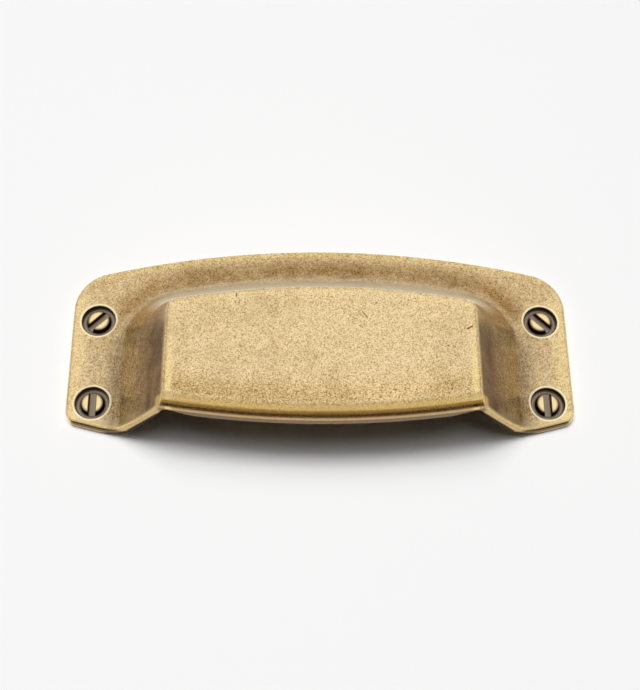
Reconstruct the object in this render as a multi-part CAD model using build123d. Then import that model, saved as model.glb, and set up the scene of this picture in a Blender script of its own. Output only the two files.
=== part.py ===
from build123d import *
from math import atan2, cos, degrees, radians, sin, sqrt, tan
import os

# A cast brass shell pull for a drawer: a flange, a cove that rises to a flat raised panel, and a
# hollow behind it that is open at the mouth and at the back.
# The back of the flange lies on z = 0, +Z points out of the drawer and the mouth looks along -Y.
# The origin is midway between the two tapped posts. Sizes are in millimetres and degrees.

# Tapped posts: the machine screws come into them from inside the drawer
post_spacing = 76.0
post_diameter = 8.0
tapped_diameter = 3.3
tapped_depth = 10.0

# Raised panel: its straight sides stand inside the posts, its back edge is bowed
panel_side_inset = 3.7
panel_back = 2.1
panel_back_radius = 173.0
panel_corner_radius = 2.2
panel_thickness = 2.2
projection = 24.5

# Cove: a foot that curves up out of the flange and a wall that steepens to the panel's edge
cove_reach = 16.4
cove_foot_radius = 6.0
cove_foot_turn = 53.0

# Flange round the cove: its back and mouth edges are shallow arcs
flange_thickness = 3.0
side_strip = 8.3
back_strip = 5.6
flange_back_radius = 210.0
upper_corner_radius = 10.0
lower_corner_radius = 3.0
mouth_reach = 29.4
mouth_radius = 211.0

# Hollow: its wall runs beside the cove and thickens towards its foot, which fades out on the back
# of the flange. The foot ends a little way up from the end of the cove's foot.
wall_thickness = 1.4
wall_foot_thickness = 2.1
hollow_foot_lead = 4.0
hollow_foot_start_slope = 18.0
hollow_foot_end_slope = 57.0
ceiling_rounding = 1.5

# Lip: rolled over at the front of the panel, with a bead behind the roll
lip_roll_radius = 3.3
lip_thickness = 4.7
lip_depth = 5.0
bead_end_inset = 5.8
bead_end_slope = 17.0
bead_back_slope = 40.0
bead_blend_radius = 8.0
mouth_corner_radius = 1.5

# Rounded edges of the casting
outer_edge_rounding = 0.65
mouth_edge_rounding = 0.4
back_edge_rounding = 0.3

# Dummy slotted screw heads, cast in round recesses in the flange
screw_side_inset = 6.1
screw_mouth_inset = 5.85
screw_pitch = 21.5
recess_diameter = 8.0
recess_depth = 1.2
recess_rim_rounding = 0.25
head_top_diameter = 4.9
head_foot_diameter = 5.8
head_edge_rounding = 0.2
slot_top_width = 1.85
slot_floor_width = 1.4
lower_slot_angle = 90.0
upper_slot_angle = 45.0

# Cutting solids reach this far past the metal that they cut
overcut = 1.0

# Edges where the surface turns by more than this are rounded, and flatter ones are smooth seams
least_turn = 10.0

# The edges round the back of the flange are about square, and the hollow's foot meets it more flatly
square_turn = 45.0

# Points nearer than this are taken as the same place
touching = 0.001

# Places that follow from the sizes above
panel_half = post_spacing / 2 - panel_side_inset
corner_x = panel_half - panel_corner_radius
back_centre_y = panel_back - panel_back_radius
corner_y = back_centre_y + sqrt((panel_back_radius - panel_corner_radius) ** 2 - corner_x**2)
corner_turn = degrees(atan2(corner_y - back_centre_y, corner_x))
flange_half = panel_half + cove_reach + side_strip
flange_back = panel_back + cove_reach + back_strip
mouth_centre_y = mouth_radius - mouth_reach
front_reach = mouth_reach + overcut
ceiling = projection - panel_thickness
screw_x = flange_half - screw_side_inset
lower_screw_y = mouth_centre_y - sqrt(mouth_radius**2 - screw_x**2) + screw_mouth_inset


def disc(centre_y, radius):
    """Round area with its centre on the line of symmetry."""
    return Pos(0, centre_y) * Circle(radius)


def strip(half_width, back, back_radius):
    """Area with parallel sides and a bowed back edge that runs on past the mouth."""
    depth = front_reach + flange_back + overcut
    sides = Pos(0, -front_reach) * Rectangle(2 * half_width, depth, align=(Align.CENTER, Align.MIN))
    return sides & disc(back - back_radius, back_radius)


def flange():
    """Flat plate that lies on the drawer front."""
    outline = strip(flange_half, flange_back, flange_back_radius)
    outline &= disc(mouth_centre_y, mouth_radius)
    outline = fillet(outline.vertices().sort_by(Axis.Y)[-2:], upper_corner_radius)
    outline = fillet(outline.vertices().sort_by(Axis.Y)[:2], lower_corner_radius)
    return extrude(outline, flange_thickness)


def cove_lines():
    """Foot and wall of the cove, with x measured out from the panel's edge."""
    start = (cove_reach, flange_thickness)
    foot = JernArc(start, (-1, 0), cove_foot_radius, -cove_foot_turn)
    wall = TangentArc(foot @ 1, (0, projection), tangent=foot % 1)
    return foot, wall


def hollow_lines():
    """Foot and wall of the hollow, with x measured out from the panel's edge."""
    cove_foot, cove_wall = cove_lines()
    along = cove_foot % 1
    inward = Vector(-along.Y, along.X)
    foot_end = cove_foot @ 1 + along * hollow_foot_lead + inward * wall_foot_thickness
    low, high = radians(hollow_foot_start_slope), radians(hollow_foot_end_slope)
    radius = foot_end.Y / (cos(low) - cos(high))
    start = (foot_end.X + radius * (sin(high) - sin(low)), 0)
    turn = hollow_foot_end_slope - hollow_foot_start_slope
    foot = JernArc(start, (-cos(low), sin(low)), radius, -turn)
    uphill = cove_wall % 1
    steepness = atan2(uphill.Y, -uphill.X)
    wall_top_x = (panel_thickness * cos(steepness) - wall_thickness) / sin(steepness)
    wall = TangentArc(foot @ 1, (wall_top_x, ceiling), tangent=foot % 1)
    return foot, wall


def section_area(foot, wall, low):
    """Area between the foot and wall lines, the centre of the panel's corner and a low level."""
    inside = -panel_corner_radius
    top = wall @ 1
    start = foot @ 0
    rest = Polyline(top, (inside, top.Y), (inside, low), (start.X, low), start)
    return make_face(foot + wall + rest)


def hollow_section():
    """Section of the hollow, with the corner where its wall meets the ceiling rounded."""
    foot, wall = hollow_lines()
    area = section_area(foot, wall, -overcut)
    return fillet(area.vertices().sort_by_distance(wall @ 1)[0], ceiling_rounding)


def carried_round_panel(area):
    """Solid made by carrying a section round the panel's sides, corners and back."""
    section = Plane.XZ * area
    box = section.bounding_box()
    core = strip(corner_x, panel_back - panel_corner_radius, panel_back_radius - panel_corner_radius)
    solid = Pos(0, 0, box.min.Z) * extrude(core, box.size.Z)
    at_side = Pos(panel_half, corner_y) * section
    side = extrude(at_side, corner_y + front_reach, dir=(0, -1, 0))
    corner = revolve(at_side, Axis((corner_x, corner_y, 0), (0, 0, 1)), corner_turn)
    for piece in (side, corner):
        solid += piece
        solid += mirror(piece, about=Plane.YZ)
    at_back = Pos(0, back_centre_y) * Rot(0, 0, corner_turn) * Pos(panel_back_radius, 0) * section
    back = revolve(at_back, Axis((0, back_centre_y, 0), (0, 0, 1)), 180 - 2 * corner_turn)
    return solid + back


def turn_at(body, edge):
    """Angle through which the surface of a body turns at an edge, which is none at a smooth seam."""
    middle = edge @ 0.5
    normals = [face.normal_at(middle) for face in body.faces() if edge in face.edges()]
    return normals[0].get_angle(normals[-1])


def outer_form():
    """Flange, cove and panel as a block cut to the mouth arc, with its lip and edges rounded."""
    body = flange() + carried_round_panel(section_area(*cove_lines(), 0))
    body &= extrude(disc(mouth_centre_y, mouth_radius), projection)
    lip = body.faces().sort_by(Axis.Z)[-1].edges().sort_by(Axis.Y)[0]
    body = fillet(lip, lip_roll_radius)
    raised = body.edges().filter_by(lambda edge: (edge @ 0.5).Z > flange_thickness - outer_edge_rounding)
    return fillet(raised.filter_by(lambda edge: turn_at(body, edge) > least_turn), outer_edge_rounding)


def mouth_area():
    """Front view of the opening, whose bead is flat in the middle and rises at its ends."""
    side = Pos(panel_half, 0) * section_area(*hollow_lines(), -overcut)
    middle = Pos(0, -overcut) * Rectangle(2 * corner_x, ceiling + overcut, align=(Align.CENTER, Align.MIN))
    low = projection - lip_thickness
    flat = panel_half - bead_end_inset
    run = lip_thickness / tan(radians(bead_end_slope))
    bead = make_face(
        Polyline((-flat, low), (flat, low), (flat + run, projection), (-flat - run, projection), close=True)
    )
    area = side + mirror(side, about=Plane.YZ) + middle - bead
    corners = area.vertices().sort_by(Axis.Y)
    area = fillet(corners[-2:], mouth_corner_radius)
    ends = area.vertices().filter_by(lambda corner: abs(corner.Y - low) < touching)
    return fillet(ends, bead_blend_radius)


def posts():
    """Round posts, as tall as the metal above them."""
    post = Pos(post_spacing / 2, 0, -overcut) * extrude(Circle(post_diameter / 2), projection + overcut)
    return post + mirror(post, about=Plane.YZ)


def behind_lip():
    """Round block whose rim is the sloped back of the lip's bead, rounded where it meets the ceiling."""
    low_rim = (mouth_radius - lip_depth + bead_back_run(-overcut), -overcut)
    high_rim = (mouth_radius - lip_depth + bead_back_run(ceiling), ceiling)
    area = make_face(Polyline((0, -overcut), low_rim, high_rim, (0, ceiling), close=True))
    area = fillet(area.vertices().sort_by_distance(high_rim)[0], ceiling_rounding)
    return Pos(0, mouth_centre_y) * revolve(Plane.XZ * area, Axis.Z)


def hollow():
    """Space behind the panel and the cove, which narrows under the lip."""
    space = carried_round_panel(hollow_section()) & behind_lip()
    opening = Pos(0, corner_y) * extrude(Plane.XZ * mouth_area(), corner_y + front_reach)
    return space + opening - posts()


def bead_back_run(height):
    """How far the sloped back of the lip's bead comes forward from its heel down to a height."""
    return (projection - lip_thickness - height) * tan(radians(bead_back_slope))


def with_rounded_mouth(body):
    """Body with the inner edge of its mouth and the edge of its back rounded."""
    inner = body.edges().filter_by(lambda edge: (edge @ 0.5).Z > back_edge_rounding and on_mouth(edge))
    body = fillet(inner.filter_by(lambda edge: turn_at(body, edge) > least_turn), mouth_edge_rounding)
    back = body.faces().filter_by(Axis.Z).group_by(Axis.Z)[0].sort_by(SortBy.AREA)[-1]
    return fillet(back.edges().filter_by(lambda edge: turn_at(body, edge) > square_turn), back_edge_rounding)


def on_mouth(edge):
    """True for an edge that lies in the face of the mouth."""
    middle = edge @ 0.5
    return abs((middle - Vector(0, mouth_centre_y, middle.Z)).length - mouth_radius) < touching


def screw_places():
    """Floor centres of the four recesses, each turned so that its slot runs along x."""
    floor = flange_thickness - recess_depth
    for side in (-1, 1):
        yield Pos(side * screw_x, lower_screw_y, floor) * Rot(0, 0, lower_slot_angle)
        yield Pos(side * screw_x, lower_screw_y + screw_pitch, floor) * Rot(0, 0, -side * upper_slot_angle)


def slotted_head():
    """Two lands of a slotted head: a low cone parted by a slot that narrows to its floor."""
    half_top = slot_top_width / 2
    half_floor = slot_floor_width / 2
    cone = Cone(
        head_foot_diameter / 2, head_top_diameter / 2, recess_depth, align=(Align.CENTER, Align.CENTER, Align.MIN)
    )
    section = Polyline(
        (-half_floor, 0), (half_floor, 0), (half_top, recess_depth), (-half_top, recess_depth), close=True
    )
    lands = cone - extrude(Plane.YZ * make_face(section), head_foot_diameter, both=True)
    tops = lands.faces().filter_by(Axis.Z).sort_by(Axis.Z)[-2:]
    return fillet(tops.edges(), head_edge_rounding)


def with_dummy_screws(body):
    """Body with its four recesses and the slotted heads in them."""
    recess = extrude(Circle(recess_diameter / 2), projection)
    for place in screw_places():
        body -= place * recess
    rims = body.edges().filter_by(lambda edge: is_recess_rim(body, edge))
    body = fillet(rims, recess_rim_rounding)
    for place in screw_places():
        body += place * slotted_head()
    return body


def is_recess_rim(body, edge):
    """True for an upper edge of a round recess."""
    middle = edge @ 0.5
    if middle.Z < flange_thickness - recess_depth / 2 or abs(middle.X) < screw_x - recess_diameter:
        return False
    return turn_at(body, edge) > least_turn


def tapped_holes():
    """Blind holes up the middle of the posts."""
    hole = Pos(post_spacing / 2, 0, -overcut) * extrude(Circle(tapped_diameter / 2), tapped_depth + overcut)
    return hole + mirror(hole, about=Plane.YZ)


def shell_pull():
    """The whole casting."""
    body = with_rounded_mouth(outer_form() - hollow())
    return with_dummy_screws(body) - tapped_holes()


if __name__ == "__main__":
    os.makedirs("parts", exist_ok=True)
    export_step(shell_pull(), "parts/shell_pull.step")
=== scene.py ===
"""Looks of a cast shell pull in antique brass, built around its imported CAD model.

The scene is in metres, in the frame of the CAD model: the back of the flange lies on z = 0, the
mouth looks along -Y and the origin is midway between the two tapped posts. The finish measures the
casting in millimetres. Each of its layers names its strengths, and the zones in which it eases in
or out.
"""

import logging
import math
from abc import ABC, abstractmethod
from dataclasses import dataclass
from enum import Enum
from typing import Union

import bpy
from mathutils import Matrix, Vector

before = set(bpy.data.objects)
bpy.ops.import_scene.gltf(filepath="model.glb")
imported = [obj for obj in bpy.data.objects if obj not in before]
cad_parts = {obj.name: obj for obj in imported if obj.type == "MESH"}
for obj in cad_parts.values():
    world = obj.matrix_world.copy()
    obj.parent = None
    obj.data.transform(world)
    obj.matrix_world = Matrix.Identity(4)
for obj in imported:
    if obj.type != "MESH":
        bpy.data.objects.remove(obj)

MM = 0.001
PER_METRE = 1000.0
WHITE = (1.0, 1.0, 1.0)
OPAQUE = 1.0
MIDDLE = 0.5  # middle level of a noise

Socket = bpy.types.NodeSocket
Value = Union[Socket, float, tuple]
Span = tuple[float, float]
Color = tuple[float, float, float, float]
Stops = tuple[Span, ...]

log = logging.getLogger("shell_pull")


def linear(red: int, green: int, blue: int) -> Color:
    """Colour that a screen shows as the given sRGB levels.

    Args:
        red: Level of red, 0 to 255.
        green: Level of green, 0 to 255.
        blue: Level of blue, 0 to 255.

    Returns:
        Linear colour with full alpha.
    """
    levels = []
    for level in (red, green, blue):
        share = level / 255
        levels.append(share / 12.92 if share <= 0.04045 else ((share + 0.055) / 1.055) ** 2.4)
    return (*levels, OPAQUE)


class Blend(Enum):
    """Ways in which one colour is laid over another."""

    OVER = "MIX"
    DARKEN = "MULTIPLY"
    LIGHTEN = "SCREEN"


@dataclass(frozen=True)
class Noise:
    """Recipe of a noise: size of a spot, number and strength of finer layers, and curl."""

    size: float
    detail: float = 2.0
    rough: float = 0.5
    twist: float = 0.0


@dataclass(frozen=True)
class Strokes:
    """Recipe of short strokes in several directions: lengths in metres, first turn in degrees."""

    length: float
    width: float
    first: float
    count: int = 4
    roll_step: float = 0.3
    pitch: float = 0.2
    spots: Noise = Noise(1.0, 1.0)


class Graph:
    """Small helper that adds nodes to one node tree and wires them."""

    def __init__(self, tree: bpy.types.NodeTree) -> None:
        """Take a node tree and empty it.

        Args:
            tree: Node tree that the nodes are added to.
        """
        self.tree = tree
        tree.nodes.clear()

    def add(self, kind: str, **settings: object) -> bpy.types.Node:
        """Add a node.

        Args:
            kind: Blender's name of the node type.
            settings: Properties of the node to set.

        Returns:
            The new node.
        """
        node = self.tree.nodes.new(kind)
        for name, value in settings.items():
            setattr(node, name, value)
        return node

    def feed(self, socket: Socket, value: Value) -> None:
        """Link an output to a socket, or set the socket to a value.

        Args:
            socket: Input socket.
            value: Output socket, number or colour.
        """
        if isinstance(value, Socket):
            self.tree.links.new(value, socket)
        else:
            socket.default_value = value

    def math(self, operation: str, *values: Value, clamp: bool = False) -> Socket:
        """Add a Math node.

        Args:
            operation: Blender's name of the operation.
            values: Its inputs, numbers or outputs.
            clamp: Whether the result is kept within 0 and 1.

        Returns:
            The result.
        """
        node = self.add("ShaderNodeMath", operation=operation, use_clamp=clamp)
        for socket, value in zip(node.inputs, values):
            self.feed(socket, value)
        return node.outputs[0]

    def fold(self, operation: str, values: tuple[Value, ...]) -> Socket:
        """Join values, one after another, by a Math operation.

        Args:
            operation: Blender's name of the operation.
            values: Numbers or outputs.

        Returns:
            The result, which is the value itself where there is only one.
        """
        first, *others = values
        for other in others:
            first = self.math(operation, first, other)
        return first

    def times(self, *values: Value) -> Socket:
        """Return the product of values."""
        return self.fold("MULTIPLY", values)

    def plus(self, *values: Value) -> Socket:
        """Return the sum of values."""
        return self.fold("ADD", values)

    def minus(self, *values: Value) -> Socket:
        """Return the first value without the others."""
        return self.fold("SUBTRACT", values)

    def most(self, *values: Value) -> Socket:
        """Return the highest of values."""
        return self.fold("MAXIMUM", values)

    def least(self, *values: Value) -> Socket:
        """Return the lowest of values."""
        return self.fold("MINIMUM", values)

    def scaled(self, value: Value, factor: Value, base: Value, clamp: bool = False) -> Socket:
        """Multiply a value and add a base to it.

        Args:
            value: Value to scale.
            factor: What it is multiplied by.
            base: What is added.
            clamp: Whether the result is kept within 0 and 1.

        Returns:
            The result.
        """
        return self.math("MULTIPLY_ADD", value, factor, base, clamp=clamp)

    def gain(self, share: Value, change: float) -> Socket:
        """Return a factor that is 1 where a share is 0, and has the change added where it is 1."""
        return self.scaled(share, change, 1.0)

    def rest(self, share: Value) -> Socket:
        """Return what a share leaves of 1."""
        return self.minus(1.0, share)

    def distance(self, first: Value, second: Value) -> Socket:
        """Return the distance between points that lie so far apart along two square axes."""
        return self.math("SQRT", self.plus(self.times(first, first), self.times(second, second)))

    def ramp(self, value: Value, span: Span, smooth: bool = True) -> Socket:
        """Map a value from 0 at one level to 1 at another.

        Args:
            value: Value to map.
            span: Level that becomes 0, and level that becomes 1, which may be the lower one.
            smooth: Whether the step eases in and out.

        Returns:
            The share, from 0 to 1.
        """
        kind = "SMOOTHSTEP" if smooth else "LINEAR"
        node = self.add("ShaderNodeMapRange", interpolation_type=kind)
        self.feed(node.inputs["Value"], value)
        node.inputs["From Min"].default_value = min(span)
        node.inputs["From Max"].default_value = max(span)
        share = node.outputs["Result"]
        return share if span[0] < span[1] else self.rest(share)

    def gap(self, place: Socket, start: tuple, end: tuple) -> Socket:
        """Distance to a straight stroke.

        Args:
            place: Flat coordinates.
            start: One end of the stroke.
            end: Its other end.

        Returns:
            The distance, in the unit of the coordinates.
        """
        run = Vector((end[0] - start[0], end[1] - start[1], 0.0))
        offset = self.add("ShaderNodeVectorMath", operation="SUBTRACT")
        self.feed(offset.inputs[0], place)
        self.feed(offset.inputs[1], (*start, 0.0))
        share = self.add("ShaderNodeVectorMath", operation="DOT_PRODUCT")
        self.feed(share.inputs[0], offset.outputs["Vector"])
        self.feed(share.inputs[1], run / run.length_squared)
        nearest = self.add("ShaderNodeVectorMath", operation="SCALE")
        self.feed(nearest.inputs[0], run)
        kept_on = self.math("ADD", share.outputs["Value"], 0.0, clamp=True)
        self.feed(nearest.inputs["Scale"], kept_on)
        distance = self.add("ShaderNodeVectorMath", operation="DISTANCE")
        self.feed(distance.inputs[0], offset.outputs["Vector"])
        self.feed(distance.inputs[1], nearest.outputs["Vector"])
        return distance.outputs["Value"]

    def curve(self, value: Value, reach: float, stops: Stops) -> Socket:
        """Map a value along a smooth curve.

        Args:
            value: Value to map.
            reach: Value at the end of the curve.
            stops: Pairs of a value and the level there, from low to high.

        Returns:
            The level.
        """
        node = self.add("ShaderNodeValToRGB")
        self.feed(node.inputs[0], self.math("DIVIDE", value, reach))
        node.color_ramp.interpolation = "EASE"
        points = node.color_ramp.elements
        while len(points) < len(stops):
            points.new(MIDDLE)
        for point, (place, level) in zip(points, stops):
            point.position = place / reach
            point.color = (level, level, level, OPAQUE)
        return node.outputs[0]

    def mix(self, share: Value, first: Value, second: Value, blend: Blend = Blend.OVER) -> Socket:
        """Blend two colours.

        Args:
            share: How much of the second colour, 0 to 1.
            first: First colour.
            second: Second colour.
            blend: How the second colour is laid over the first.

        Returns:
            The blended colour.
        """
        node = self.add("ShaderNodeMix", data_type="RGBA", blend_type=blend.value)
        self.feed(node.inputs[0], share)
        self.feed(node.inputs[6], first)
        self.feed(node.inputs[7], second)
        return node.outputs[2]

    def vector(self, *axes: Value) -> Socket:
        """Join numbers into a vector.

        Args:
            axes: Up to three numbers or outputs.

        Returns:
            The vector, with 0 for what is left out.
        """
        node = self.add("ShaderNodeCombineXYZ")
        for socket, value in zip(node.inputs, axes):
            self.feed(socket, value)
        return node.outputs[0]

    def noise(self, place: Socket, recipe: Noise) -> Socket:
        """Add a noise whose spots have a real size.

        Args:
            place: Coordinates.
            recipe: Character of the spots, and their size in the unit of the coordinates.

        Returns:
            The noise, about 0 to 1.
        """
        node = self.add("ShaderNodeTexNoise")
        self.feed(node.inputs["Vector"], place)
        node.inputs["Scale"].default_value = 1 / recipe.size
        node.inputs["Detail"].default_value = recipe.detail
        node.inputs["Roughness"].default_value = recipe.rough
        node.inputs["Distortion"].default_value = recipe.twist
        return node.outputs["Fac"]

    def strokes(self, place: Socket, recipe: Strokes) -> Socket:
        """Add short strokes that lie in several directions.

        Args:
            place: Coordinates in metres.
            recipe: Size and directions of the strokes.

        Returns:
            The strongest of the strokes, about 0.4 to 0.9.
        """
        strongest = 0.0
        for number in range(recipe.count):
            turn = math.radians(recipe.first + 180 * number / recipe.count)
            turned = self.add("ShaderNodeMapping", vector_type="TEXTURE")
            self.feed(turned.inputs["Vector"], place)
            rotation = (recipe.roll_step * number, recipe.pitch, turn)
            turned.inputs["Rotation"].default_value = rotation
            turned.inputs["Scale"].default_value = (recipe.length, recipe.width, recipe.width)
            strongest = self.most(strongest, self.noise(turned.outputs[0], recipe.spots))
        return strongest

    def bump(self, height: Value, strength: float, distance: float) -> bpy.types.Node:
        """Add a bump.

        Args:
            height: Height of the surface.
            strength: How much of the bump is used.
            distance: What a height of 1 stands for, in metres.

        Returns:
            The bump node, whose base normal is not linked.
        """
        node = self.add("ShaderNodeBump")
        node.inputs["Strength"].default_value = strength
        node.inputs["Distance"].default_value = distance
        self.feed(node.inputs["Height"], height)
        return node

    def finish(self, kind: str, shader: Socket) -> None:
        """Add the output node.

        Args:
            kind: Blender's name of the output's node type.
            shader: What it puts out.
        """
        self.feed(self.add(kind).inputs["Surface"], shader)


@dataclass(frozen=True)
class Palette:
    """Colours of the brass, its patina and its grain, and the painted highlights, reflections and
    shadows laid over them.
    """

    bright: Color = linear(249, 222, 175)
    # Rubbed metal, also laid on as a painted highlight along the mouth's edge
    wear_and_highlight: Color = linear(248, 222, 160)
    # Also laid on the lip's roll, partly as a painted highlight
    gold: Color = linear(248, 211, 130)
    umber: Color = linear(110, 74, 26)
    stone: Color = linear(156, 134, 108)
    bronze: Color = linear(158, 126, 80)
    # Painted reflection: the pale sheen of the band behind the panel
    painted_sheen: Color = linear(228, 218, 190)
    # Painted highlight, in the sheen band and along the ridge behind the panel
    glint: Color = linear(255, 250, 222)
    amber: Color = linear(170, 132, 80)
    olive: Color = linear(176, 148, 90)
    # Unpolished inside, also used as painted shadow on the cut face
    raw_metal_and_shadow: Color = linear(44, 36, 28)
    speck: Color = linear(150, 128, 12)
    tip: Color = linear(114, 86, 58)
    well: Color = linear(158, 142, 122)
    # Painted shadow, in the wells and at the foot of the cut face
    painted_shadow: Color = linear(56, 44, 34)
    land: Color = linear(252, 228, 174)
    # Painted highlight round the wells' rims
    rim: Color = linear(255, 240, 196)
    umbra: Color = linear(216, 207, 162)
    tuck: Color = linear(204, 173, 126)
    scar: Color = linear(96, 66, 22)
    # Painted light and shade of the cut face: brow partly patina, partly painted shade; shade a
    # painted dark band; bar and flank painted bright bands
    brow: Color = linear(124, 98, 64)
    shade: Color = linear(98, 68, 16)
    bar: Color = linear(192, 162, 112)
    flank: Color = linear(216, 182, 120)


TONES = Palette()


class At(Enum):
    """Measures of a place on the casting, in millimetres."""

    ACROSS = "to the right of the line of symmetry"
    DEPTH = "behind the axes of the posts"
    HIGH = "above the back of the flange"
    SIDE = "outside the panel's side"
    REAR = "outside the panel's back"
    CORNER = "outside both its side and its back"
    OUTSIDE = "outside the panel's outline, which has rounded corners"
    WITHIN = "within the flange's outline"
    MOUTH = "behind the face of the mouth"
    SCREW = "from the axis of the nearest dummy screw"
    WALL = "past the inner face of the cove's wall"
    FOOT = "past the arc of the cove's inner foot"


# Measures, each with the level where a zone begins and the level where it is full
Zone = tuple[tuple[At, float, float], ...]


@dataclass(frozen=True)
class PullForm:
    """Sizes that the finish follows, in millimetres, as in the CAD source."""

    panel_half: float = 34.3
    panel_back: float = 2.1
    panel_back_radius: float = 173.0
    panel_corner_radius: float = 2.2
    flange_half: float = 59.0
    flange_back: float = 24.1
    flange_back_radius: float = 210.0
    mouth_reach: float = 29.4
    mouth_radius: float = 211.0
    screw_x: float = 52.9
    screw_y: Span = (-16.81, 4.69)
    wall_slope: float = -0.62
    wall_foot: float = 14.83
    foot_centre: Span = (23.64, 17.15)
    foot_radius: float = 18.03
    rear_over_side: Span = (-8.0, 1.0)


class Surface:
    """Places on the casting, and what the layers of its finish hand on."""

    fine_noise = Noise(0.36 * MM, 2.0, 0.65, 0.3)
    fine_part = 0.72
    coarse_noise = Noise(0.95 * MM, 2.0, 0.6, 0.8)
    coarse_part = 0.28
    blotch_noise = Noise(4.0 * MM, 3.0, 0.6)
    cloud_noise = Noise(15 * MM)

    def __init__(self, graph: Graph, form: PullForm) -> None:
        """Measure the casting.

        Args:
            graph: Helper of the material's node tree.
            form: Sizes of the casting.
        """
        self.graph = graph
        self.place = graph.add("ShaderNodeTexCoord").outputs["Object"]
        split = graph.add("ShaderNodeSeparateXYZ")
        graph.feed(split.inputs[0], self.place)
        across, depth, high = [graph.times(axis, PER_METRE) for axis in split.outputs]
        self.at = {At.ACROSS: across, At.DEPTH: depth, At.HIGH: high}
        aside = graph.math("ABSOLUTE", across)
        side = graph.minus(aside, form.panel_half)
        rear = graph.minus(0.0, self.before_arc(form.panel_back, -form.panel_back_radius))
        outside = self.outside_outline(side, rear, form.panel_corner_radius)
        flange_back = self.before_arc(form.flange_back, -form.flange_back_radius)
        lower, upper = [
            graph.distance(graph.minus(aside, form.screw_x), graph.minus(depth, centre))
            for centre in form.screw_y
        ]
        foot_outside, foot_high = form.foot_centre
        from_foot = graph.distance(graph.minus(outside, foot_outside), graph.minus(high, foot_high))
        wall = graph.scaled(high, form.wall_slope, form.wall_foot)
        self.at |= {
            At.SIDE: side,
            At.REAR: rear,
            At.CORNER: graph.least(side, rear),
            At.OUTSIDE: outside,
            At.WITHIN: graph.least(graph.minus(form.flange_half, aside), flange_back),
            At.MOUTH: self.before_arc(-form.mouth_reach, form.mouth_radius),
            At.SCREW: graph.least(lower, upper),
            At.WALL: graph.minus(wall, outside),
            At.FOOT: graph.minus(from_foot, form.foot_radius),
        }
        self.rear = graph.ramp(graph.minus(rear, side), form.rear_over_side)

        # Grain of the casting, blotches of patina and slow unevenness
        fine = graph.times(graph.noise(self.place, self.fine_noise), self.fine_part)
        coarse = graph.times(graph.noise(self.place, self.coarse_noise), self.coarse_part)
        self.grain = graph.plus(fine, coarse)
        self.blotch = graph.minus(graph.noise(self.place, self.blotch_noise), MIDDLE)
        self.cloud = graph.minus(graph.noise(self.place, self.cloud_noise), MIDDLE)

        # What the layers set, in their order
        self.color: Value = TONES.bright
        self.patina = self.behind_panel = self.sheen_band = self.plateau = self.near_lip = 0.0
        self.beside = self.rubbed = self.face = self.inside = self.knocks = self.sunk = 0.0

    def before_arc(self, crown: float, radius: float) -> Socket:
        """Distance inside an arc whose crown is on the line of symmetry.

        Args:
            crown: Depth of the crown.
            radius: Radius of the arc, negative where its centre lies before the crown.

        Returns:
            The distance, towards the centre of the arc.
        """
        off_centre = self.graph.minus(self.at[At.DEPTH], crown + radius)
        return self.graph.minus(abs(radius), self.graph.distance(self.at[At.ACROSS], off_centre))

    def outside_outline(self, side: Socket, rear: Socket, corner: float) -> Socket:
        """Distance outside the panel's outline, which is negative on the panel.

        Args:
            side: Distance outside the panel's side.
            rear: Distance outside its back.
            corner: Radius of the outline's corners.

        Returns:
            The distance.
        """
        graph = self.graph
        side, rear = graph.plus(side, corner), graph.plus(rear, corner)
        round_part = graph.distance(graph.most(side, 0.0), graph.most(rear, 0.0))
        inner_part = graph.least(graph.most(side, rear), 0.0)
        return graph.minus(graph.plus(round_part, inner_part), corner)

    def zone(self, rows: Zone, *shares: Value) -> Socket:
        """Share of a zone, the product of the ramps that bound it.

        Args:
            rows: The zone.
            shares: What its share is multiplied by.

        Returns:
            The share.
        """
        ramps = [self.graph.ramp(self.at[place], (low, high)) for place, low, high in rows]
        return self.graph.times(*ramps, *shares)

    def coat(self, share: Value, color: Value, blend: Blend = Blend.OVER) -> None:
        """Lay a colour over the surface.

        Args:
            share: Where and how much, from 0 to 1.
            color: The colour.
            blend: How it is laid on.
        """
        self.color = self.graph.mix(share, self.color, color, blend)


class Layer(ABC):
    """Step of the finish."""

    @abstractmethod
    def paint(self, surface: Surface) -> None:
        """Add the step to a surface.

        Args:
            surface: What the layers share.
        """


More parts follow.
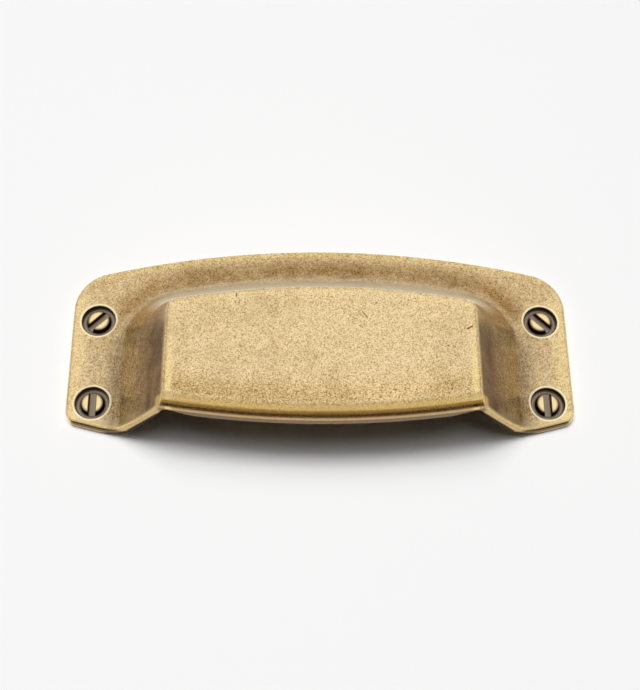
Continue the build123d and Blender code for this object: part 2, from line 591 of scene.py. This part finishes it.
@dataclass(frozen=True)
class Patina(Layer):
    """Dark patina that is left in the cove and on the low parts of the flange."""

    reach: float = 25.0
    side_stops: Stops = (
        (0.0, 0.0), (0.35, 0.25), (0.9, 0.9), (3.5, 0.97), (6.0, 0.72), (8.5, 0.45), (11.0, 0.2),
        (12.6, 0.65), (14.0, 0.58), (16.0, 0.25), (18.5, 0.28), (20.5, 0.15), (22.0, 0.0),
    )
    rear_stops: Stops = (
        (0.0, 0.05), (2.0, 0.4), (5.0, 0.25), (6.5, 0.0), (9.0, 0.04), (12.0, 0.1), (13.5, 0.44),
        (15.0, 0.72), (16.5, 0.84), (18.0, 0.74), (20.0, 0.44), (21.5, 0.25),
    )
    back_half: Zone = ((At.DEPTH, -10.0, 5.0),)
    back_half_change: float = -0.45
    flange: Zone = ((At.OUTSIDE, 13.0, 15.0),)
    wander: Zone = ((At.OUTSIDE, 2.0, 6.0),)
    wander_reach: float = 2.4
    streak_noise: Noise = Noise(0.8, 2.0, 0.6)
    streak_depth: float = 0.12
    streak_across: float = 0.04
    streaked: Zone = ((At.OUTSIDE, 2.0, 7.0), (At.OUTSIDE, 16.0, 12.0))
    cloud_part: float = 0.6
    uneven_change: float = 0.85
    cloud_added: float = 0.25
    corner_cove: Zone = ((At.CORNER, 2.0, 6.0), (At.OUTSIDE, 16.5, 14.0))
    corner_cove_change: float = -0.55
    corner_rim: Zone = ((At.CORNER, 2.0, 6.0), (At.OUTSIDE, 16.0, 18.5), (At.OUTSIDE, 23.0, 21.0))
    corner_rim_added: float = 0.14
    bend: Zone = ((At.DEPTH, -5.0, 2.0), (At.SIDE, 4.0, 7.0), (At.REAR, 6.0, 1.0))
    bend_cleaner: Zone = ((At.OUTSIDE, 7.5, 10.0), (At.OUTSIDE, 13.8, 12.5))
    bend_cleaner_added: float = -0.28
    bend_darker: Zone = ((At.OUTSIDE, 13.3, 14.8), (At.OUTSIDE, 18.5, 16.5))
    bend_darker_added: float = 0.16
    below_top: Zone = ((At.HIGH, 24.5, 24.35),)
    foot: Zone = ((At.OUTSIDE, 4.0, 12.0),)
    corner_hue: Zone = ((At.CORNER, 2.0, 6.0), (At.OUTSIDE, 14.0, 16.5))

    def profile(self, surface: Surface) -> Socket:
        """Patina by the distance from the panel, at the sides and at the back.

        Args:
            surface: What the layers share.

        Returns:
            The share of patina.
        """
        graph = surface.graph
        swing = surface.zone(self.wander, self.wander_reach)
        wander = graph.scaled(surface.blotch, swing, surface.at[At.OUTSIDE])
        cleaner_back = graph.gain(surface.zone(self.back_half), self.back_half_change)
        kept = graph.most(cleaner_back, surface.zone(self.flange))
        at_side = graph.times(graph.curve(wander, self.reach, self.side_stops), kept)
        at_rear = graph.curve(wander, self.reach, self.rear_stops)
        at_side = graph.times(at_side, graph.rest(surface.rear))
        return graph.plus(at_side, graph.times(at_rear, surface.rear))

    def unevenness(self, surface: Surface) -> Socket:
        """Blotches, clouds and streaks along the cove.

        Args:
            surface: What the layers share.

        Returns:
            The unevenness, round 0.
        """
        graph, at = surface.graph, surface.at
        depth = graph.times(at[At.DEPTH], self.streak_depth)
        across = graph.times(at[At.ACROSS], self.streak_across)
        streak = graph.noise(graph.vector(at[At.OUTSIDE], depth, across), self.streak_noise)
        streak = surface.zone(self.streaked, graph.minus(streak, MIDDLE))
        return graph.plus(surface.blotch, graph.times(surface.cloud, self.cloud_part), streak)

    def paint(self, surface: Surface) -> None:
        """Add the patina and its hue.

        Args:
            surface: What the layers share.
        """
        graph = surface.graph
        uneven = graph.gain(self.unevenness(surface), self.uneven_change)
        patina = graph.times(self.profile(surface), uneven)
        patina = graph.scaled(surface.cloud, self.cloud_added, patina)

        # Cleaner cove and darker flange round the panel's back corners
        corner_cove = graph.gain(surface.zone(self.corner_cove), self.corner_cove_change)
        patina = graph.times(patina, corner_cove)
        patina = graph.scaled(surface.zone(self.corner_rim), self.corner_rim_added, patina)
        darker = surface.zone(self.bend_darker, self.bend_darker_added)
        bent = graph.scaled(surface.zone(self.bend_cleaner), self.bend_cleaner_added, darker)
        patina = graph.scaled(surface.zone(self.bend), bent, patina)
        below_top = surface.zone(self.below_top)
        surface.patina = graph.math("MULTIPLY", patina, below_top, clamp=True)

        foot = surface.zone(self.foot)
        hue = graph.mix(foot, TONES.umber, TONES.stone)
        hue = graph.mix(graph.times(surface.rear, foot), hue, TONES.bronze)
        hue = graph.mix(surface.zone(self.corner_hue), hue, TONES.amber)
        surface.coat(surface.patina, hue)


@dataclass(frozen=True)
class SheenBand(Layer):
    """Smooth band along the cove behind the panel, painted with a pale silvery sheen and, nearest
    the panel, a painted glint, which stand in for the reflection there.
    """

    softening: float = 2.0
    behind_panel: Span = (0.85, 0.4)
    band: Zone = ((At.OUTSIDE, 15.4, 10.4), (At.OUTSIDE, 4.2, 6.2))
    glint: Zone = ((At.OUTSIDE, 8.6, 6.6),)

    def paint(self, surface: Surface) -> None:
        """Add the band.

        Args:
            surface: What the layers share.
        """
        graph = surface.graph
        aside = graph.plus(surface.at[At.SIDE], self.softening)
        away = graph.plus(graph.most(surface.at[At.OUTSIDE], 0.0), self.softening)
        surface.behind_panel = graph.ramp(graph.math("DIVIDE", aside, away), self.behind_panel)
        # Where the painted sheen lies; the grain is smoothed there, and the shader makes it rougher
        # and coats it
        surface.sheen_band = surface.zone(self.band, surface.behind_panel)
        pale = graph.mix(surface.zone(self.glint), TONES.painted_sheen, TONES.glint)
        surface.coat(surface.sheen_band, pale)


@dataclass(frozen=True)
class WallShade(Layer):
    """Darker and browner top of the side walls, more so on the right."""

    top: Zone = ((At.OUTSIDE, 0.2, 0.7), (At.OUTSIDE, 6.0, 2.5))
    right: Zone = ((At.ACROSS, 0.0, 10.0),)
    right_part: float = 0.6
    left_part: float = 0.4

    def paint(self, surface: Surface) -> None:
        """Add the shade.

        Args:
            surface: What the layers share.
        """
        graph = surface.graph
        part = graph.scaled(surface.zone(self.right), self.right_part, self.left_part)
        shaded = surface.zone(self.top, graph.rest(surface.rear), part)
        surface.coat(shaded, TONES.umbra, Blend.DARKEN)


@dataclass(frozen=True)
class PanelPatches(Layer):
    """Slow light and dark patches of the panel, stronger near the lip."""

    plateau: Zone = ((At.OUTSIDE, 0.2, -0.4),)
    cloud_added: float = 0.04
    near_lip: Zone = ((At.MOUTH, 10.0, 5.0),)
    lip: Zone = ((At.MOUTH, 3.8, 2.8),)
    near_lip_change: float = -0.8
    patch_change: float = -0.7
    left: Zone = ((At.ACROSS, 2.0, -12.0),)
    patch_part: float = 0.8
    near_lip_part: float = 0.16
    left_near_lip_part: float = 0.12
    left_part: float = 0.06
    gilded: float = 0.14

    def paint(self, surface: Surface) -> None:
        """Add the patches.

        Args:
            surface: What the layers share.
        """
        graph = surface.graph
        surface.plateau = surface.zone(self.plateau)
        lip = surface.zone(self.lip)
        surface.near_lip = surface.zone(self.near_lip, graph.gain(lip, self.near_lip_change))
        left = surface.zone(self.left)
        patches = graph.plus(surface.blotch, surface.cloud, self.cloud_added)
        lip_part = graph.scaled(left, self.left_near_lip_part, self.near_lip_part)
        lip_patches = graph.times(surface.near_lip, lip_part)
        patches = graph.scaled(patches, self.patch_part, lip_patches)
        patches = graph.scaled(left, self.left_part, patches)
        patches = graph.times(patches, graph.gain(lip, self.patch_change))
        surface.coat(graph.math("MULTIPLY", surface.plateau, patches, clamp=True), TONES.olive)
        surface.coat(graph.times(surface.plateau, surface.near_lip, self.gilded), TONES.gold)


@dataclass(frozen=True)
class EdgeWearAndHighlights(Layer):
    """Polished roll of the lip, partly a painted highlight, golden margin of the panel and paler
    rims of the flange, with a painted glint along the ridge behind the panel and a painted
    highlight on the worn mouth edge.
    """

    beside: Zone = ((At.OUTSIDE, 0.6, 2.0),)
    margin: Zone = ((At.OUTSIDE, -2.4, -1.2), (At.OUTSIDE, -0.1, -0.6))
    margin_front: Zone = ((At.DEPTH, -10.0, -18.0),)
    margin_front_part: float = 0.5
    margin_part: float = 0.3
    rim: Zone = ((At.WITHIN, 4.5, 1.8), (At.HIGH, 3.2, 3.05))
    rim_part: float = 0.5
    roll: Zone = ((At.MOUTH, 3.3, 2.2), (At.HIGH, 20.0, 21.5))
    roll_part: float = 0.8
    tuck: Zone = ((At.MOUTH, 1.0, 0.5), (At.HIGH, 23.1, 22.7))
    rear_rim: Zone = ((At.WITHIN, 2.6, 0.9),)
    rear_rim_part: float = 0.7
    border: Zone = ((At.OUTSIDE, -0.9, -0.4), (At.OUTSIDE, 0.2, -0.1), (At.HIGH, 23.8, 24.3))
    border_part: float = 0.12
    ridge_glint: Zone = ((At.OUTSIDE, -0.15, 0.05), (At.OUTSIDE, 0.55, 0.3), (At.HIGH, 23.6, 23.9))
    ridge_glint_part: float = 0.9
    edge_wear_and_highlight: Zone = ((At.MOUTH, 1.3, 0.5), (At.HIGH, 22.5, 20.5))
    edge_wear_and_highlight_part: float = 0.75

    def paint(self, surface: Surface) -> None:
        """Add the polish of the edges, and the painted highlights on them.

        Args:
            surface: What the layers share.
        """
        graph, zone, coat = surface.graph, surface.zone, surface.coat
        surface.beside = zone(self.beside)
        front = graph.scaled(zone(self.margin_front), self.margin_front_part, self.margin_part)
        margin = zone(self.margin, surface.plateau, front)
        rim = zone(self.rim, graph.rest(surface.rear), self.rim_part)
        surface.rubbed = graph.most(margin, rim)
        # The lip's roll: golden polish, partly a painted highlight
        coat(zone(self.roll, self.roll_part), TONES.gold)
        coat(zone(self.tuck, graph.rest(surface.beside)), TONES.tuck)
        coat(surface.rubbed, TONES.wear_and_highlight)
        coat(zone(self.rear_rim, surface.rear, self.rear_rim_part), TONES.wear_and_highlight)
        coat(zone(self.border, self.border_part), TONES.olive)
        # Painted highlight: a glint along the ridge behind the panel
        coat(zone(self.ridge_glint, surface.behind_panel, self.ridge_glint_part), TONES.glint)
        # Painted highlight on the mouth's edge, which is also worn
        coat(zone(self.edge_wear_and_highlight, surface.beside, self.edge_wear_and_highlight_part), TONES.wear_and_highlight)


@dataclass(frozen=True)
class CutFace(Layer):
    """Face that the mouth cuts through the casting, painted with light and shade: beside the panel
    a painted dark band over a painted bright bar, a painted contact shadow at its foot and a
    painted brighter flank higher up the cove; under the panel a face darkened partly by patina,
    partly by painted shade, with a painted highlight along its lower edge.
    """

    under_panel: Zone = ((At.MOUTH, 0.65, 0.3), (At.HIGH, 22.0, 21.5))
    beside_panel: Zone = ((At.MOUTH, 0.22, 0.1), (At.HIGH, 22.9, 22.2))
    shade: Zone = ((At.HIGH, 1.1, 1.6),)
    painted_shadow: Zone = ((At.HIGH, 0.5, 0.25),)
    flank: Zone = ((At.HIGH, 3.5, 5.0),)
    bar: Zone = ((At.HIGH, 20.3, 19.8),)

    def paint(self, surface: Surface) -> None:
        """Add the face.

        Args:
            surface: What the layers share.
        """
        graph, zone, beside = surface.graph, surface.zone, surface.beside
        under_panel = zone(self.under_panel, graph.rest(beside))
        surface.face = graph.most(zone(self.beside_panel, beside), under_panel)
        # Beside the panel: painted dark band, painted bright bar, painted contact shadow at the
        # foot, painted brighter flank up the cove
        side_cut = graph.mix(zone(self.shade), TONES.bar, TONES.shade)
        side_cut = graph.mix(zone(self.painted_shadow), side_cut, TONES.painted_shadow)
        side_cut = graph.mix(zone(self.flank), side_cut, TONES.flank)
        # Under the panel: face darkened partly by patina, partly by painted shade, with a painted
        # highlight along its lower edge
        panel_cut = graph.mix(zone(self.bar), TONES.brow, TONES.bar)
        surface.coat(surface.face, graph.mix(beside, panel_cut, side_cut))


@dataclass(frozen=True)
class RawInsideAndShadow(Layer):
    """Rough inside of the casting, which the polishing never reached, painted shadow on the cut
    face low in the cove and along the cove's foot, and dark along the very bottom of the casting.
    """

    hollow: Zone = ((At.WALL, 0.9, 1.2), (At.HIGH, 23.0, 22.6), (At.MOUTH, 4.9, 5.4))
    undercut: Zone = ((At.WALL, 1.35, 1.75), (At.HIGH, 4.6, 5.4), (At.HIGH, 21.0, 20.0))
    foot: Zone = ((At.FOOT, -0.1, 0.2), (At.HIGH, 5.4, 4.6))
    back: Zone = ((At.HIGH, 0.12, 0.05),)

    def paint(self, surface: Surface) -> None:
        """Add the unpolished inside and the painted shadow.

        Args:
            surface: What the layers share.
        """
        # Unpolished hollow, painted shadow on the cut face (undercut, foot) and the dark very
        # bottom (back)
        surface.inside = surface.graph.most(
            surface.zone(self.hollow),
            surface.zone(self.undercut, surface.beside),
            surface.zone(self.foot, surface.face, surface.beside),
            surface.zone(self.back),
        )
        surface.coat(surface.inside, TONES.raw_metal_and_shadow)


@dataclass(frozen=True)
class CastGrain(Layer):
    """Dark pits and strokes, light tips and a mottle, coarser in the cove."""

    dark_strokes: Strokes = Strokes(0.85 * MM, 0.2 * MM, 10.0)
    light_strokes: Strokes = Strokes(0.8 * MM, 0.2 * MM, 32.0)
    stroke: Span = (0.6, 0.7)
    rubbed_change: float = -0.6
    lip: Zone = ((At.MOUTH, 2.9, 1.9),)
    lip_change: float = -0.6
    near_lip_change: float = 0.25
    sheen_band_change: float = -0.92
    off_heads: Zone = ((At.SCREW, 2.6, 4.2),)
    rough: Zone = ((At.OUTSIDE, 5.0, 13.0),)
    reach: float = 25.0
    coarse_stops: Stops = (
        (0.0, 0.05), (4.0, 0.4), (6.0, 1.3), (10.0, 1.2), (12.5, 0.8), (15.0, 0.25), (24.0, 0.25),
    )
    pit: Span = (0.55, 0.38)
    pit_part: float = 0.4
    dark_part: float = 0.52
    dark_rough_part: float = -0.1
    pit_base: float = 1.04
    pit_coarse_part: float = 0.8
    tip: Span = (0.52, 0.62)
    tip_part: float = 0.35
    tip_rough_part: float = 0.2
    light_part: float = 0.6
    light_rough_part: float = 0.35
    tip_coarse_change: float = 2.1
    mottle_noise: Noise = Noise(1.7 * MM, 2.0, 0.6, 0.4)
    mottle_dark: Span = (0.55, 0.35)
    mottle_dark_part: float = 0.2
    mottle_light: Span = (0.52, 0.7)
    mottle_light_part: float = 0.12

    def held(self, surface: Surface) -> Socket:
        """How much of the grain the polishing left.

        Args:
            surface: What the layers share.

        Returns:
            The factor, about 0 to 1.
        """
        gain = surface.graph.gain
        return surface.zone(
            self.off_heads,
            gain(surface.rubbed, self.rubbed_change),
            gain(surface.zone(self.lip), self.lip_change),
            gain(surface.near_lip, self.near_lip_change),
            gain(surface.sheen_band, self.sheen_band_change),
        )

    def paint(self, surface: Surface) -> None:
        """Add the grain.

        Args:
            surface: What the layers share.
        """
        graph, place = surface.graph, surface.place
        held = self.held(surface)
        rough = surface.zone(self.rough)
        coarse = graph.curve(surface.at[At.OUTSIDE], self.reach, self.coarse_stops)

        dark = graph.ramp(graph.strokes(place, self.dark_strokes), self.stroke)
        dark = graph.times(dark, graph.scaled(rough, self.dark_rough_part, self.dark_part))
        pits = graph.ramp(surface.grain, self.pit, smooth=False)
        pits = graph.scaled(pits, self.pit_part, dark)
        coarse_pits = graph.scaled(coarse, self.pit_coarse_part, self.pit_base)
        pits = graph.math("MULTIPLY", pits, coarse_pits, clamp=True)

        light = graph.ramp(graph.strokes(place, self.light_strokes), self.stroke)
        light = graph.times(light, graph.scaled(rough, self.light_rough_part, self.light_part))
        tips = graph.ramp(surface.grain, self.tip)
        tip_part = graph.scaled(rough, self.tip_rough_part, self.tip_part)
        tips = graph.scaled(tips, tip_part, light, clamp=True)
        coarse_tips = graph.gain(coarse, self.tip_coarse_change)
        tips = graph.math("MULTIPLY", tips, coarse_tips, clamp=True)
        tips = graph.times(tips, graph.rest(surface.face))

        mottle = graph.noise(place, self.mottle_noise)
        mottled = graph.times(graph.most(rough, coarse), held)
        dim = graph.times(graph.ramp(mottle, self.mottle_dark), mottled, self.mottle_dark_part)
        lit = graph.times(graph.ramp(mottle, self.mottle_light), mottled, self.mottle_light_part)
        surface.coat(dim, TONES.speck, Blend.DARKEN)
        surface.coat(lit, TONES.tip, Blend.LIGHTEN)
        surface.coat(graph.math("MULTIPLY", pits, held, clamp=True), TONES.speck, Blend.DARKEN)
        surface.coat(graph.math("MULTIPLY", tips, held, clamp=True), TONES.tip, Blend.LIGHTEN)


@dataclass(frozen=True)
class Nick:
    """Small knock in the top of the panel, from one end to the other in millimetres."""

    start: tuple
    end: tuple
    width: float = 0.12
    depth: float = 1.0


@dataclass(frozen=True)
class Knocks(Layer):
    """The small knocks in the top of the panel."""

    nicks: tuple = (
        Nick((32.09, -8.47), (33.23, -7.74), 0.16),
        Nick((31.46, -7.72), (32.14, -7.49), 0.12, 0.5),
        Nick((-19.01, 0.29), (-19.0, -0.45), 0.18, 0.8),
        Nick((-19.32, -1.67), (-19.12, -2.3), 0.1, 0.6),
        Nick((-18.2, -1.42), (-18.42, -2.4), 0.1, 0.7),
        Nick((9.0, -4.24), (10.05, -5.71), 0.13, 0.8),
        Nick((8.55, -4.97), (9.4, -5.71), 0.1, 0.5),
        Nick((8.28, -7.67), (8.51, -7.67), 0.18, 0.6),
        Nick((27.6, -12.55), (27.76, -12.62), 0.18, 0.8),
        Nick((-6.04, -8.2), (-5.37, -7.95), 0.1, 0.5),
        Nick((-9.86, -23.88), (-9.44, -23.39), 0.13, 0.7),
    )
    outer: float = 1.3
    inner: float = 0.5
    top: Zone = ((At.HIGH, 24.0, 24.3),)

    def paint(self, surface: Surface) -> None:
        """Add the knocks.

        Args:
            surface: What the layers share.
        """
        graph = surface.graph
        flat = graph.vector(surface.at[At.ACROSS], surface.at[At.DEPTH])
        knocks = 0.0
        for nick in self.nicks:
            gap = graph.gap(flat, nick.start, nick.end)
            knock = graph.ramp(gap, (nick.width * self.outer, nick.width * self.inner))
            knocks = graph.most(knocks, graph.times(knock, nick.depth))
        surface.knocks = surface.zone(self.top, knocks)
        surface.coat(surface.knocks, TONES.scar)


@dataclass(frozen=True)
class ScrewWells(Layer):
    """Wells round the dummy screw heads and in their slots, with painted shade on their walls and a
    painted highlight round their rims.
    """

    rim: Zone = ((At.SCREW, 4.65, 4.4), (At.HIGH, 2.5, 2.7))
    rim_part: float = 0.95
    land: Zone = ((At.SCREW, 2.7, 2.3), (At.HIGH, 2.7, 2.85))
    land_edge: Zone = ((At.SCREW, 1.8, 2.45), (At.SCREW, 3.6, 3.2), (At.HIGH, 2.6, 2.75))
    land_edge_part: float = 0.8
    sunk: Zone = ((At.SCREW, 4.25, 3.95), (At.HIGH, 2.9, 2.65))
    wall: Zone = ((At.HIGH, 1.85, 1.95),)
    outer_shadow: Zone = ((At.SCREW, 3.45, 3.85),)
    inner_shadow: Zone = ((At.SCREW, 2.7, 2.9), (At.SCREW, 3.35, 3.0))
    floor_shadow_part: float = 0.6

    def paint(self, surface: Surface) -> None:
        """Add the wells.

        Args:
            surface: What the layers share.
        """
        graph, zone = surface.graph, surface.zone
        # Painted highlight on the rounded rim of each well
        surface.coat(zone(self.rim, self.rim_part), TONES.rim)
        surface.coat(zone(self.land), TONES.land)
        surface.coat(zone(self.land_edge, self.land_edge_part), TONES.umber)
        surface.sunk = zone(self.sunk)
        # Painted shade on the wells' walls and on the floor next to them
        floor_shadow = graph.most(zone(self.outer_shadow), zone(self.inner_shadow))
        painted_shadow = graph.most(zone(self.wall), graph.times(floor_shadow, self.floor_shadow_part))
        surface.coat(surface.sunk, TONES.well)
        surface.coat(graph.times(surface.sunk, painted_shadow), TONES.painted_shadow)


@dataclass(frozen=True)
class AntiqueBrass:
    """Cast brass that was darkened, tumbled and relieved on its high places, with painted
    highlights, reflections and shadows in its colour.
    """

    layers: tuple = (
        Patina(), SheenBand(), WallShade(), PanelPatches(), EdgeWearAndHighlights(), CutFace(), RawInsideAndShadow(),
        CastGrain(), Knocks(), ScrewWells(),
    )
    roughness: float = 0.27
    patina_rougher: float = 0.06
    rubbed_rougher: float = -0.08
    sunk_rougher: float = 0.15
    inside_rougher: float = 0.3
    sheen_band_rougher: float = 0.3
    coat_roughness: float = 0.35
    wave_noise: Noise = Noise(7 * MM, 1.0, 0.4)
    wave_strength: float = 0.5
    wave_height: float = 0.12 * MM
    grain_strength: float = 0.6
    grain_height: float = 0.035 * MM
    knock_height: float = 0.6

    def material(self, form: PullForm) -> bpy.types.Material:
        """Make the procedural material.

        Args:
            form: Sizes of the casting.

        Returns:
            The material.
        """
        material = bpy.data.materials.new("antique_brass")
        material.use_nodes = True
        surface = Surface(Graph(material.node_tree), form)
        for layer in self.layers:
            layer.paint(surface)
        self.shade(surface)
        return material

    def shade(self, surface: Surface) -> None:
        """Add the shader of the finished surface.

        Args:
            surface: What the layers have set.
        """
        graph = surface.graph
        shader = graph.add("ShaderNodeBsdfPrincipled")
        graph.feed(shader.inputs["Base Color"], surface.color)
        shader.inputs["Metallic"].default_value = 1.0
        roughness: Value = self.roughness
        for share, rougher in (
            (surface.patina, self.patina_rougher),
            (surface.rubbed, self.rubbed_rougher),
            (surface.sunk, self.sunk_rougher),
            (surface.inside, self.inside_rougher),
            (surface.sheen_band, self.sheen_band_rougher),
        ):
            roughness = graph.scaled(share, rougher, roughness)
        graph.feed(shader.inputs["Roughness"], roughness)
        graph.feed(shader.inputs["Coat Weight"], surface.sheen_band)
        shader.inputs["Coat Roughness"].default_value = self.coat_roughness

        waves = graph.noise(surface.place, self.wave_noise)
        waves = graph.bump(waves, self.wave_strength, self.wave_height)
        relief = graph.scaled(surface.knocks, -self.knock_height, surface.grain)
        grain = graph.bump(relief, self.grain_strength, self.grain_height)
        graph.feed(grain.inputs["Normal"], waves.outputs["Normal"])
        graph.feed(shader.inputs["Normal"], grain.outputs["Normal"])
        graph.finish("ShaderNodeOutputMaterial", shader.outputs[0])


@dataclass
class Casting:
    """The pull itself, whose solid comes from the CAD model."""

    node: str = "shell_pull"
    form: PullForm = PullForm()
    finish: AntiqueBrass = AntiqueBrass()

    def dress(self) -> None:
        """Give the CAD node its finish."""
        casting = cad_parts[self.node]
        material = self.finish.material(self.form)
        for slot in casting.material_slots:
            slot.link = "OBJECT"
            slot.material = material
        log.info("%s has %d faces", self.node, len(casting.data.polygons))


class Seen(Enum):
    """Rays that the plain background shows itself to."""

    CAMERA = "Is Camera Ray"
    GLOSSY = "Is Glossy Ray"
    TRANSMISSION = "Is Transmission Ray"


def new_plane(name: str, size: float, height: float) -> bpy.types.Object:
    """Add a level square plane over the origin.

    Args:
        name: Its name.
        size: Length of its sides.
        height: Its height.

    Returns:
        The plane.
    """
    bpy.ops.object.select_all(action="DESELECT")
    bpy.ops.mesh.primitive_plane_add(size=size, location=(0, 0, height))
    plane = bpy.context.object
    plane.name = name
    return plane


@dataclass(frozen=True)
class Lamp:
    """Soft lamp that looks at the pull: its place, the size of its face and its watts."""

    name: str
    place: tuple
    size: tuple
    power: float

    def build(self) -> None:
        """Add the lamp, which the metal does not mirror."""
        data = bpy.data.lights.new(self.name, "AREA")
        data.shape = "RECTANGLE"
        data.size, data.size_y = self.size
        data.energy = self.power
        lamp = bpy.data.objects.new(self.name, data)
        lamp.location = self.place
        lamp.rotation_euler = (-Vector(self.place)).to_track_quat("-Z", "Y").to_euler()
        lamp.visible_glossy = False
        bpy.context.scene.collection.objects.link(lamp)


@dataclass(frozen=True)
class Card:
    """Card across one axis, by its lowest and highest corner, that only reflections show."""

    name: str
    low: tuple
    high: tuple
    color: tuple

    def build(self) -> None:
        """Stand the card out of the picture."""
        middle = (Vector(self.low) + Vector(self.high)) / 2
        half = (Vector(self.high) - Vector(self.low)) / 2
        card = new_plane(self.name, 2, 0)
        for vertex in card.data.vertices:
            first, second, _ = vertex.co
            spread = Vector((first, first if half.x == 0 else second, second))
            vertex.co = middle + half * spread
        material = bpy.data.materials.new(self.name)
        material.use_nodes = True
        graph = Graph(material.node_tree)
        glow = graph.add("ShaderNodeEmission")
        glow.inputs["Color"].default_value = (*self.color, OPAQUE)
        glow.inputs["Strength"].default_value = 1.0
        graph.finish("ShaderNodeOutputMaterial", glow.outputs[0])
        card.data.materials.append(material)
        card.visible_camera = card.visible_diffuse = False
        card.visible_shadow = card.visible_transmission = False


@dataclass
class Studio:
    """Pale floor, soft light and the camera at the photograph's angle, in metres and radians."""

    background: float = 0.94
    world_light: float = 0.02
    floor_half: float = 1.5
    floor_gap: float = 0.02 * MM
    camera_turn: float = -0.03691
    camera_rise: float = 1.10405
    camera_roll: float = 0.03546
    camera_distance: float = 308.75 * MM
    camera_near: float = 0.01
    focal_pixels: float = 1286.84
    picture_height: int = 690
    sensor: float = 36.0
    target: tuple = (-0.01 * MM, -0.19 * MM, 0.0)
    lamps: tuple = (
        Lamp("softbox_above", (-0.1, 0.065, 1.8), (0.97, 1.24), 23.0),
        Lamp("softbox_core", (-0.12, 0.03, 1.8), (0.4, 0.26), 10.9),
    )
    cards: tuple = (
        Card("ceiling_card", (-0.8, -0.8, 0.95), (0.8, 0.8, 0.95), (0.7, 0.7, 0.7)),
        Card("softbox_face", (-0.3, 0.15, 0.75), (0.3, 0.65, 0.75), (1.05, 1.05, 1.05)),
        Card("front_low_card", (-0.25, -0.095, 0.0), (0.25, -0.095, 0.0446), (0.03, 0.012, 0.003)),
        Card("front_high_card", (-0.35, -0.16, 0.068), (0.35, -0.16, 0.15), (0.28, 0.2, 0.1)),
        Card("left_card", (-0.45, -0.36, 0.0), (-0.45, 0.45, 0.34), (0.7, 0.7, 0.7)),
        Card("right_card", (0.45, -0.36, 0.0), (0.45, 0.45, 0.34), (0.74, 0.74, 0.74)),
    )

    @property
    def backdrop(self) -> Color:
        """Colour of the floor and of the plain background."""
        return (self.background, self.background, self.background, OPAQUE)

    def shown(self, graph: Graph) -> Socket:
        """Share that is 1 for rays which see the plain background.

        Args:
            graph: Helper of the world's node tree.

        Returns:
            The share, 0 or 1.
        """
        path = graph.add("ShaderNodeLightPath")
        share = 0.0
        for kind in Seen:
            share = graph.most(share, path.outputs[kind.value])
        return share

    def world(self) -> None:
        """Make the world: plain light, and the plain background where it is seen."""
        world = bpy.data.worlds.new("studio")
        bpy.context.scene.world = world
        world.use_nodes = True
        graph = Graph(world.node_tree)
        mixed = graph.add("ShaderNodeMixShader")
        graph.feed(mixed.inputs[0], self.shown(graph))
        sides = (((*WHITE, OPAQUE), self.world_light), (self.backdrop, 1.0))
        for socket, (color, strength) in zip(mixed.inputs[1:], sides):
            light = graph.add("ShaderNodeBackground")
            light.inputs["Color"].default_value = color
            light.inputs["Strength"].default_value = strength
            graph.feed(socket, light.outputs[0])
        graph.finish("ShaderNodeOutputWorld", mixed.outputs[0])

    def floor(self) -> None:
        """Make the floor under the pull."""
        floor = new_plane("floor", 2 * self.floor_half, -self.floor_gap)
        material = bpy.data.materials.new("floor")
        material.use_nodes = True
        shader = material.node_tree.nodes["Principled BSDF"]
        shader.inputs["Base Color"].default_value = self.backdrop
        shader.inputs["Roughness"].default_value = 1.0
        shader.inputs["Specular IOR Level"].default_value = 0.0
        floor.data.materials.append(material)

    def light(self) -> None:
        """Set up the lamps and the cards that the metal reflects."""
        for piece in (*self.lamps, *self.cards):
            piece.build()

    def camera(self) -> None:
        """Set the camera where the photograph was taken from."""
        turn, rise, roll = self.camera_turn, self.camera_rise, self.camera_roll
        out = math.cos(rise)
        back = Vector((math.sin(turn) * out, -math.cos(turn) * out, math.sin(rise)))
        right = Vector((math.cos(turn), math.sin(turn), 0.0))
        up = back.cross(right)
        rolled_right = math.cos(roll) * right + math.sin(roll) * up
        rolled_up = -math.sin(roll) * right + math.cos(roll) * up
        eye = Vector(self.target) + back * self.camera_distance
        data = bpy.data.cameras.new("camera")
        data.sensor_width = self.sensor
        data.lens = self.focal_pixels * self.sensor / self.picture_height
        data.clip_start = self.camera_near
        camera = bpy.data.objects.new("camera", data)
        turned = Matrix((rolled_right, rolled_up, back)).transposed().to_4x4()
        camera.matrix_world = Matrix.Translation(eye) @ turned
        bpy.context.scene.collection.objects.link(camera)
        bpy.context.scene.camera = camera

    def build(self) -> None:
        """Make the whole studio."""
        self.world()
        self.floor()
        self.light()
        self.camera()
        bpy.context.scene.view_settings.view_transform = "Standard"


def main() -> None:
    """Build the scene in order."""
    logging.basicConfig(level=logging.INFO, format="%(name)s: %(message)s")
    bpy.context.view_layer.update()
    Casting().dress()
    Studio().build()


if __name__ == "__main__":
    main()
